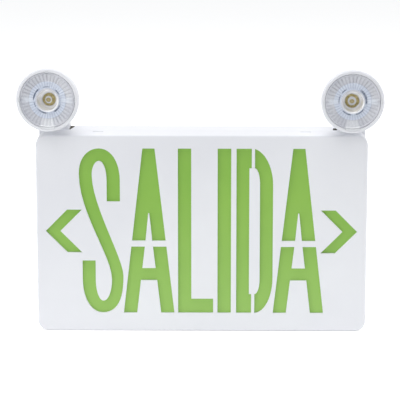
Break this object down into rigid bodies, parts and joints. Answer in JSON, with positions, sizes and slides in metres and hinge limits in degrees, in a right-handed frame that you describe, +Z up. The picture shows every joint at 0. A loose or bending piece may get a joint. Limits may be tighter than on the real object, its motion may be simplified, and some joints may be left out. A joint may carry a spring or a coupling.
{
  "type": "emergency exit light",
  "caption": "Wall-mounted exit sign box with stencil chevron windows over a green panel and a swivelling, tilting lamp head at each top corner.",
  "frame": {"origin": "centre of the wire entry, on the wall plane, which is the centre of the wall face", "axes": "+X to the viewer's right, +Y into the wall, +Z up; the legend faces -Y"},
  "size_m": [0.3311, 0.0602, 0.2442],
  "materials": {
    "white_housing": "fine satin moulded white thermoplastic",
    "green_panel": "translucent green plate, softly glossy",
    "white_sheet": "white reflective styrene sheet",
    "circuit_board": "green solder-masked board",
    "white_board": "white solder-masked strip board",
    "led_package": "phosphor-coated emitter in a white package",
    "zinc_screw": "bright zinc-plated steel",
    "core_steel": "varnished steel laminations with a taped winding",
    "relay_case": "blue moulded case",
    "can_sleeve": "black sleeve over an aluminium can",
    "terminal_green": "moulded green terminal block",
    "connector_nylon": "natural nylon",
    "battery_sleeve": "shrink sleeve",
    "strap_steel": "bent zinc-plated strip",
    "black_nylon": "black moulded nylon",
    "clear_plastic": "clear moulded acrylic",
    "red_button": "red moulded plastic",
    "aluminium_sink": "plain extruded aluminium",
    "spring_steel": "dark spring steel"
  },
  "bodies": {
    "housing": {"front_cover": "white_housing", "back_housing": "white_housing", "green_diffuser": "green_panel", "reflector_tray": "white_sheet", "tray_screws": "zinc_screw", "upper_led_strip": "white_board", "lower_led_strip": "white_board", "upper_strip_leds": "led_package", "lower_strip_leds": "led_package", "control_board": "circuit_board", "board_screws": "zinc_screw", "transformer": "core_steel", "relay": "relay_case", "capacitors": "can_sleeve", "terminal_block": "terminal_green", "connectors": "connector_nylon", "battery_pack": "battery_sleeve", "battery_strap": "strap_steel", "strap_screws": "zinc_screw", "status_board": "circuit_board", "test_switch": "black_nylon", "light_pipe": "clear_plastic", "left_foot": "white_housing", "left_swivel_bush": "black_nylon", "left_foot_screws": "zinc_screw", "right_foot": "white_housing", "right_swivel_bush": "black_nylon", "right_foot_screws": "zinc_screw"},
    "test_button": {"test_button": "red_button"},
    "left_turret": {"left_turret": "white_housing", "left_swivel_clip": "spring_steel"},
    "left_head": {"left_shell": "white_housing", "left_optic": "clear_plastic", "left_heat_sink": "aluminium_sink", "left_led_board": "white_board", "left_emitter": "led_package", "left_led_screws": "zinc_screw", "left_tilt_screw": "zinc_screw", "left_tilt_nut": "zinc_screw"},
    "right_turret": {"right_turret": "white_housing", "right_swivel_clip": "spring_steel"},
    "right_head": {"right_shell": "white_housing", "right_optic": "clear_plastic", "right_heat_sink": "aluminium_sink", "right_led_board": "white_board", "right_emitter": "led_package", "right_led_screws": "zinc_screw", "right_tilt_screw": "zinc_screw", "right_tilt_nut": "zinc_screw"}
  },
  "joints": [
    {"name": "test_button_press", "type": "slide", "parent": "housing", "child": "test_button", "axis": [0, 0, 1], "range_m": [0, 0.0015], "stiffness_N_per_m": 400, "springref_m": -0.0008},
    {"name": "left_pan", "type": "hinge", "parent": "housing", "child": "left_turret", "pos_m": [-0.134, -0.0135, 0.0915], "axis": [0, 0, 1], "range_deg": [-53.9, 66.1]},
    {"name": "left_tilt", "type": "hinge", "parent": "left_turret", "child": "left_head", "pos_m": [-0.134, -0.0135, 0.1245], "axis": [-0.9943, 0.1063, 0], "range_deg": [-3.1, 45.4]},
    {"name": "right_pan", "type": "hinge", "parent": "housing", "child": "right_turret", "pos_m": [0.134, -0.0135, 0.0915], "axis": [0, 0, 1], "range_deg": [-62.3, 57.7]},
    {"name": "right_tilt", "type": "hinge", "parent": "right_turret", "child": "right_head", "pos_m": [0.134, -0.0135, 0.1245], "axis": [-0.9992, -0.0401, 0], "range_deg": [-1.8, 46.7]}
  ]
}
